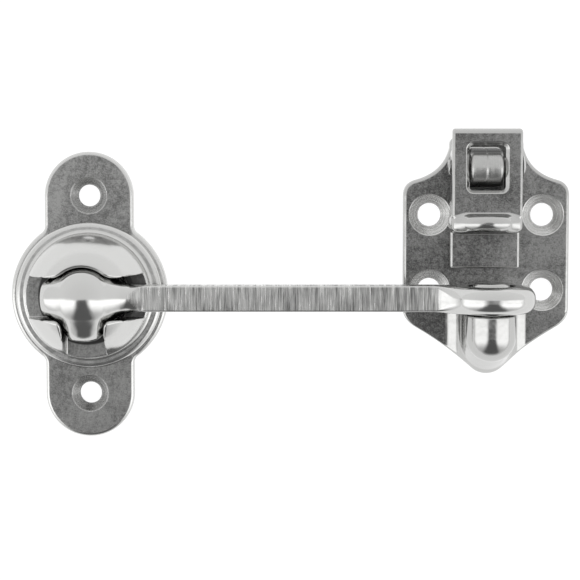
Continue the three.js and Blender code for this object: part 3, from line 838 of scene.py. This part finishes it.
def make_keeper():
    low = (HOOK_LENGTH - KEEPER_HALF_WIDTH, KEEPER_TIP_Y, 0)
    high = (HOOK_LENGTH + KEEPER_HALF_WIDTH, KEEPER_TOP_Y, HORN_Z + HORN_R)
    piece, points, normals = surfaced("keeper_casting", keeper_field, low, high)
    holes = [(HOOK_LENGTH + s * KEEPER_HOLE_X, y) for s in (-1, 1) for y in KEEPER_HOLE_YS]
    turned, painted_shade, ring = plate_marks(points, normals, holes, KEEPER_HOLE_R, KEEPER_HEAD_R)
    flat = flatness(normals) * (points[:, 2] < PLATE + 0.02)
    barrel = (points[:, 2] > PLATE + 1) & (points[:, 1] > 20)
    # painted shade on the knuckle's far side, towards the top of the lever's window
    painted_shade = np.maximum(painted_shade, barrel * ramp(points[:, 1], HINGE_Y + 2.8, HINGE_Y + 4.0))
    mark_cast(
        piece,
        np.where(barrel, 0.35, 1 - flat),
        np.where(barrel, 0.55, turned),
        np.where(barrel, points[:, 0] * 1.6, ring),
        painted_shade,
    )
    dress(piece, KEEPER, "keeper", "keeper_plate")


def make_lever():
    low = (HINGE_X - LEVER_HALF_WIDTH, LEVER_TIP_Y, HINGE_Z - EAR_ROUND_R)
    high = (HINGE_X + LEVER_HALF_WIDTH, LEVER_TOP_Y, TAB_Z)
    piece, _, normals = surfaced("lever_casting", lever_field, low, high, CELL * 0.85)
    mark_cast(piece, 1 - flatness(normals))
    dress(piece, KEEPER, "lever", "safety_lever")


def make_pin():
    low = (HINGE_X - 9.5, HINGE_Y - 4, HINGE_Z - 4)
    high = (HINGE_X + 10, HINGE_Y + 4, HINGE_Z + 4)
    piece = surfaced("pin", pin_field, low, high, 0.14)[0]
    mark_cast(piece, 0.8)
    dress(piece, KEEPER, "keeper", "hinge_pin")


def make_springs():
    for side, word in ((-1, "left"), (1, "right")):
        coil = lever_spring(f"spring_{word}", side)
        dress(coil, SPRING, "keeper", f"lever_spring_{word}")


def dress_hidden_nodes():
    """The wave spring and the rivets keep their CAD meshes and are given a material."""
    for name in ["wave_spring"] + [f"cap_rivet_{i}" for i in range(1, 5)]:
        node = frame["nodes"][name]
        node.data.materials.clear()
        node.data.materials.append(SPRING if name == "wave_spring" else INNER)


make_swivel_plate()
make_dome()
make_seat()
make_hook()
make_keeper()
make_lever()
make_pin()
make_springs()
dress_hidden_nodes()

# ---- floor, light and camera ---------------------------------------------------------------


def floor():
    half = 1.5
    mesh = bpy.data.meshes.new("floor")
    mesh.from_pydata(
        [(-half, -half, 0), (half, -half, 0), (half, half, 0), (-half, half, 0)], [], [(0, 1, 2, 3)]
    )
    plane = bpy.data.objects.new("floor", mesh)
    plane.location = (0.05, 0, -0.00002)
    bpy.context.scene.collection.objects.link(plane)
    paper = bpy.data.materials.new("paper")
    paper.use_nodes = True
    shader = paper.node_tree.nodes["Principled BSDF"]
    shader.inputs["Base Color"].default_value = (0.13, 0.13, 0.13, 1)
    shader.inputs["Roughness"].default_value = 0.9
    shader.inputs["Emission Color"].default_value = (1, 1, 1, 1)
    shader.inputs["Emission Strength"].default_value = 0.95
    mesh.materials.append(paper)


def world():
    """A pale tent, open towards -Y.

    The opening is dark in the middle, has a window to each side and is pale near the floor.
    """
    studio = bpy.data.worlds.new("studio")
    bpy.context.scene.world = studio
    studio.use_nodes = True
    n = Nodes(studio.node_tree, "Generated")
    split = n.add("ShaderNodeSeparateXYZ", {"Vector": n.place}).outputs
    sideways = n.math("ABSOLUTE", split["X"])
    front = n.math("MULTIPLY", split["Y"], -1.0)
    spread = n.math("SUBTRACT", sideways, n.math("MULTIPLY", front, 0.2))
    aside = n.soft_span(spread, 0.16, 0.44)
    tent = n.span(split["Z"], 0.3, 1.0, 1.0, 0.91)
    window = n.mix(n.soft_span(front, 0.25, 0.8), 1.85, 0.7)
    high = n.mix(aside, 0.14, window)
    low = n.mix(aside, 0.75, 0.9)
    opening = n.mix(n.soft_span(split["Z"], 0.0, 0.25), low, high)
    level = n.mix(n.soft_span(front, -0.01, 0.1), tent, opening)
    n.tree.links.new(level, n.tree.nodes["Background"].inputs["Color"])


def camera():
    view = bpy.data.cameras.new("camera")
    view.lens = 105.3
    view.sensor_width = 36.0
    view.clip_start = 0.01
    eye = bpy.data.objects.new("camera", view)
    height = 0.43
    above_target = 0.030  # how far up the wall the camera is from the point it looks at
    eye.location = (0.0506, 0.031, height)
    eye.rotation_euler = (-math.atan2(above_target, height), 0, 0)
    bpy.context.scene.collection.objects.link(eye)
    bpy.context.scene.camera = eye


floor()
world()
camera()
bpy.context.scene.view_settings.view_transform = "Standard"
